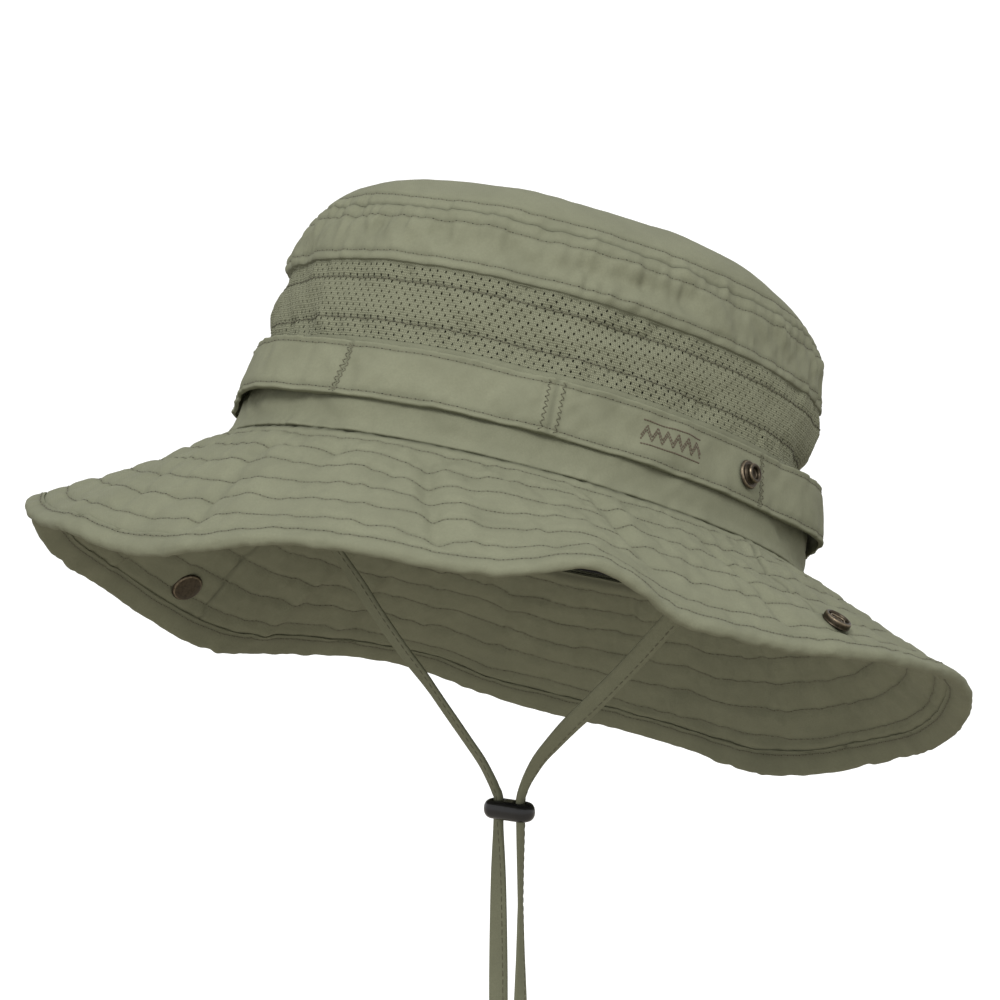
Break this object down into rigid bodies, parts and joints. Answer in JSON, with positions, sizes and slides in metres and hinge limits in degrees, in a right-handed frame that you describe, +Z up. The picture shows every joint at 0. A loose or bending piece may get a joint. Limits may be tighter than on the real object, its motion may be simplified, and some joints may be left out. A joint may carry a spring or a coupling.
{
  "type": "boonie hat",
  "caption": "Soft wide-brim sun hat: oval crown with a mesh vent panel, foliage strap, quilted brim whose sides fold up to snaps, and a chin cord with a sliding lock.",
  "frame": {"origin": "centre of the oval head opening, in the plane of the seam between crown and brim", "axes": "+Z up along an upright wearer's head, -Y the way the wearer faces, +X the wearer's left; the hat is worn tipped back, so its own crown axis leans 20.5 degrees from +Z towards +Y and the chin cord hangs straight down -Z"},
  "size_m": [0.2683, 0.2823, 0.3829],
  "materials": {
    "shell_fabric": "sage nylon plain weave, matt with a slight sheen",
    "mesh_fabric": "sage knitted mesh with small oval holes",
    "tape_fabric": "folded seam tape of the shell cloth",
    "interlining": "stiff non-woven interlining",
    "sweatband_fabric": "black brushed knit",
    "label_fabric": "plain woven label, blank",
    "strap_fabric": "folded strap of the shell cloth, edge stitched",
    "cord_fabric": "flat folded strip of the shell cloth with one row of stitching",
    "snap_brass": "antique brass, darkened, rubbed bright at the edges",
    "slider_plastic": "moulded black plastic, glossy"
  },
  "bodies": {
    "root": {"brim_binding_back": "shell_fabric", "brim_binding_front": "shell_fabric", "brim_interlining_back": "interlining", "brim_interlining_front": "interlining", "brim_top_ply_back": "shell_fabric", "brim_top_ply_front": "shell_fabric", "brim_under_ply_back": "shell_fabric", "brim_under_ply_front": "shell_fabric", "care_label": "label_fabric", "crown_lower_band": "shell_fabric", "crown_mesh_panel": "mesh_fabric", "crown_tip": "shell_fabric", "crown_upper_band": "shell_fabric", "foliage_strap": "strap_fabric", "left_band_snap_post": "snap_brass", "left_band_snap_stud": "snap_brass", "lower_mesh_tape": "tape_fabric", "right_band_snap_post": "snap_brass", "right_band_snap_stud": "snap_brass", "sweatband": "sweatband_fabric", "tip_seam_tape": "tape_fabric", "upper_mesh_tape": "tape_fabric"},
    "left_brim_flap": {"brim_binding_left_flap": "shell_fabric", "brim_interlining_left_flap": "interlining", "brim_top_ply_left_flap": "shell_fabric", "brim_under_ply_left_flap": "shell_fabric", "left_brim_snap_cap": "snap_brass", "left_brim_snap_socket": "snap_brass"},
    "right_brim_flap": {"brim_binding_right_flap": "shell_fabric", "brim_interlining_right_flap": "interlining", "brim_top_ply_right_flap": "shell_fabric", "brim_under_ply_right_flap": "shell_fabric", "right_brim_snap_cap": "snap_brass", "right_brim_snap_socket": "snap_brass"},
    "chin_cord": {"chin_cord_left": "cord_fabric", "chin_cord_right": "cord_fabric", "cord_knot": "cord_fabric"},
    "cord_lock": {"cord_slider": "slider_plastic"}
  },
  "joints": [
    {"name": "left_brim_fold", "type": "hinge", "parent": "root", "child": "left_brim_flap", "pos_m": [0.09752, -0.01617, -0.00164], "axis": [-0.1478, -0.9264, 0.3464], "range_deg": [0, 143]},
    {"name": "right_brim_fold", "type": "hinge", "parent": "root", "child": "right_brim_flap", "pos_m": [-0.09653, -0.01656, -0.0031], "axis": [-0.1478, 0.9264, -0.3464], "range_deg": [0, 150]},
    {"name": "chin_cord_swing", "type": "hinge", "parent": "root", "child": "chin_cord", "pos_m": [0, -0.0035, -0.002], "axis": [1, 0, 0], "range_deg": [-75, 45]},
    {"name": "cord_lock_slide", "type": "slide", "parent": "chin_cord", "child": "cord_lock", "axis": [0, 0, -1], "range_m": [0, 0.1]}
  ]
}
